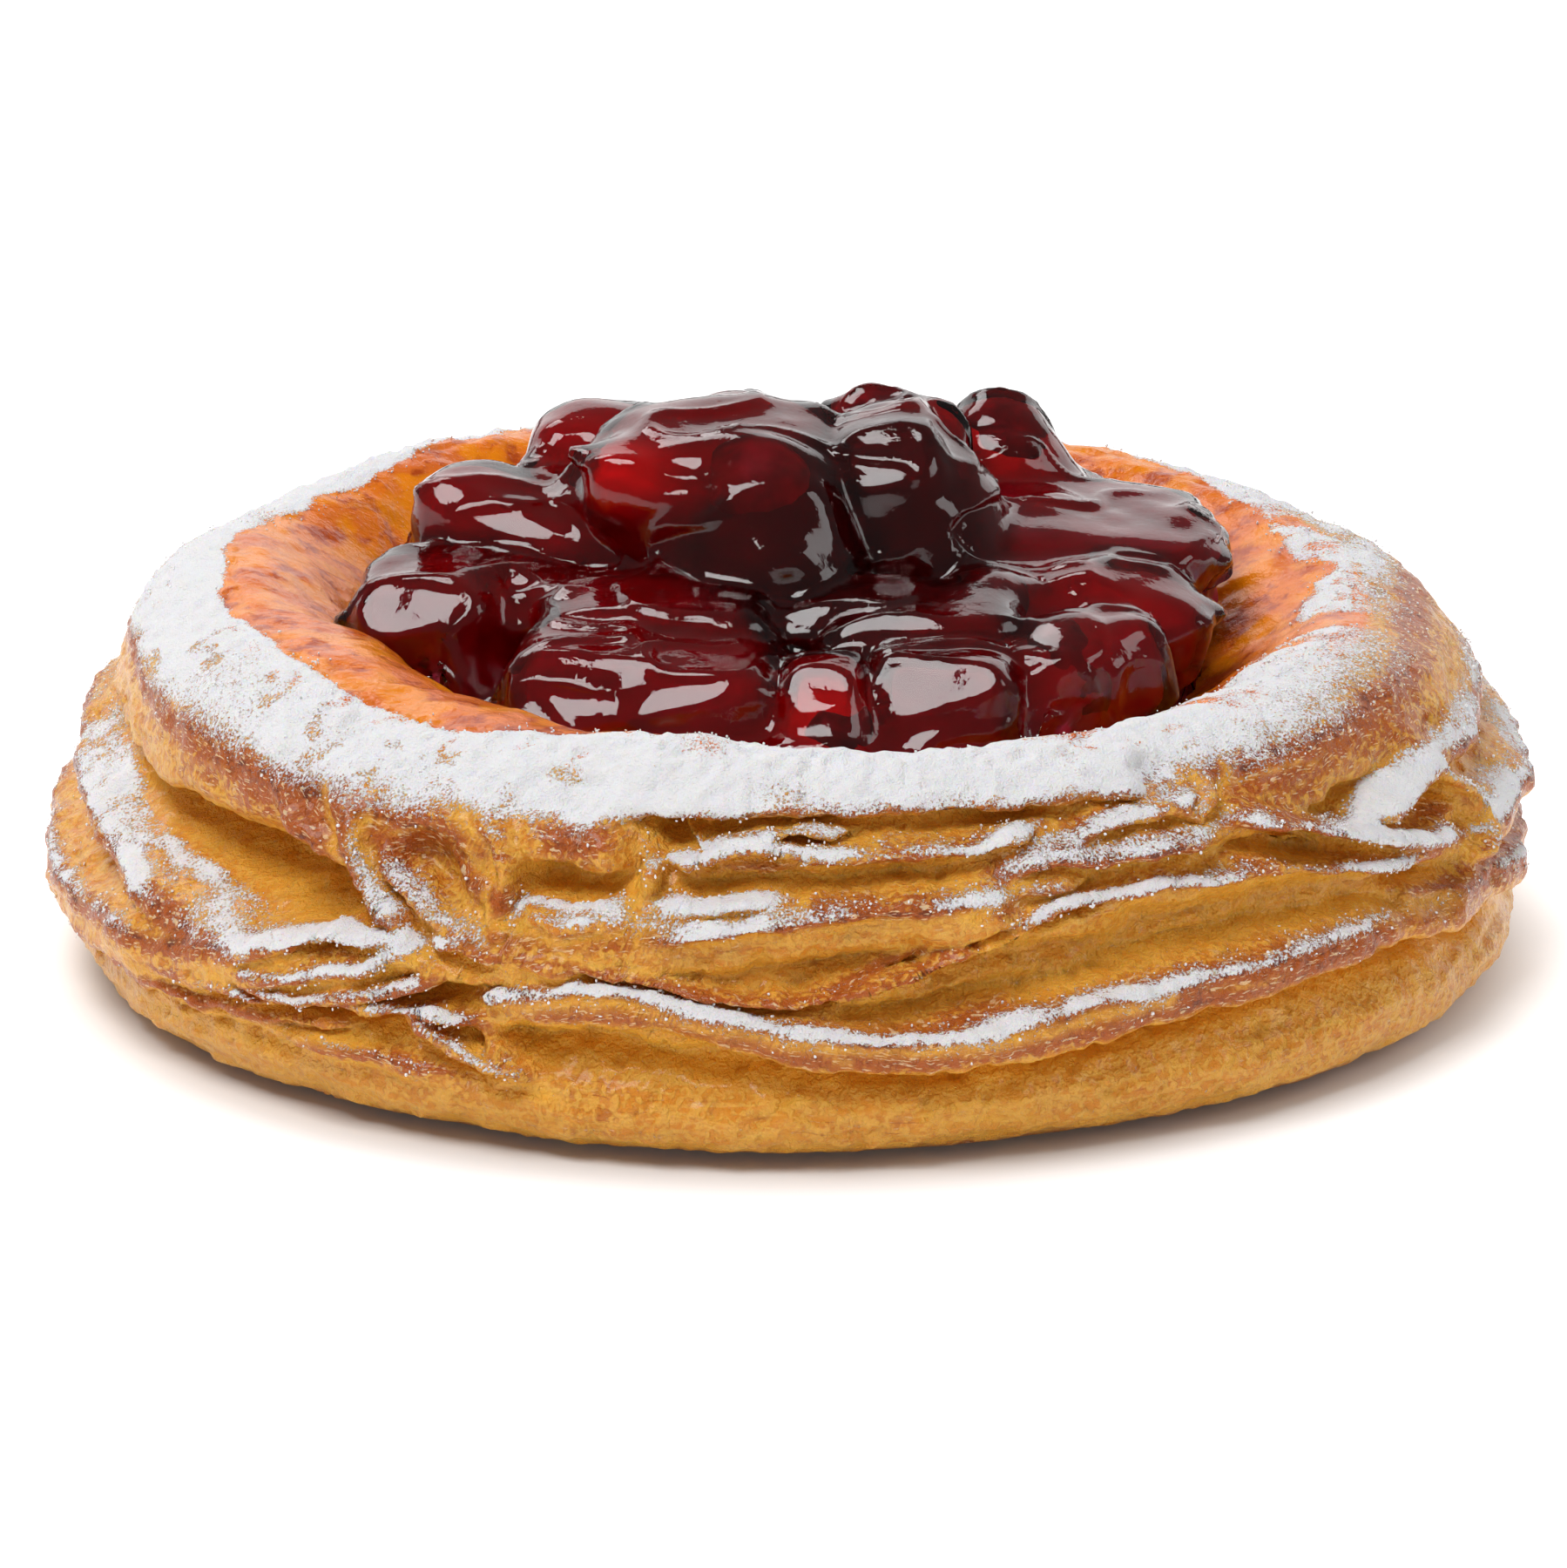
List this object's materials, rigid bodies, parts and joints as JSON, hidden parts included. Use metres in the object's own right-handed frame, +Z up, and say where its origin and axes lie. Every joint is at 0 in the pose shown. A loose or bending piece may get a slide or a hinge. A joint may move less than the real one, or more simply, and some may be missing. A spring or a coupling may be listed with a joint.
{
  "type": "cherry danish pastry",
  "caption": "Round laminated pastry with folded ribbons of dough round its side, a sugared rim, and a glazed bowl filled with whole cherries in a dark red jelly",
  "frame": {"origin": "on the table under the middle of the round", "axes": "+Z up out of the bowl, +X to the right and +Y away from the side that shows most in the picture"},
  "size_m": [0.1192, 0.114, 0.0431],
  "materials": {
    "crust": "baked dough, browned on the folds, sugared on top and glazed inside the bowl",
    "jelly": "clear set fruit jelly, wet gloss",
    "fruit": "cooked fruit skin, wet gloss"
  },
  "bodies": {
    "root": {"pastry": "crust", "jelly": "jelly", "cherry_front_1": "fruit", "cherry_front_2": "fruit", "cherry_front_3": "fruit", "cherry_front_4": "fruit", "cherry_front_5": "fruit", "cherry_front_6": "fruit", "cherry_front_7": "fruit", "cherry_front_8": "fruit", "cherry_left_1": "fruit", "cherry_left_2": "fruit", "cherry_right_1": "fruit", "cherry_right_2": "fruit", "cherry_right_3": "fruit", "cherry_top_1": "fruit", "cherry_top_2": "fruit", "cherry_top_3": "fruit", "cherry_top_4": "fruit", "cherry_top_5": "fruit", "cherry_back_1": "fruit", "cherry_back_2": "fruit", "cherry_back_3": "fruit", "cherry_back_4": "fruit", "cherry_back_5": "fruit", "cherry_back_6": "fruit", "cherry_back_7": "fruit"}
  },
  "joints": []
}
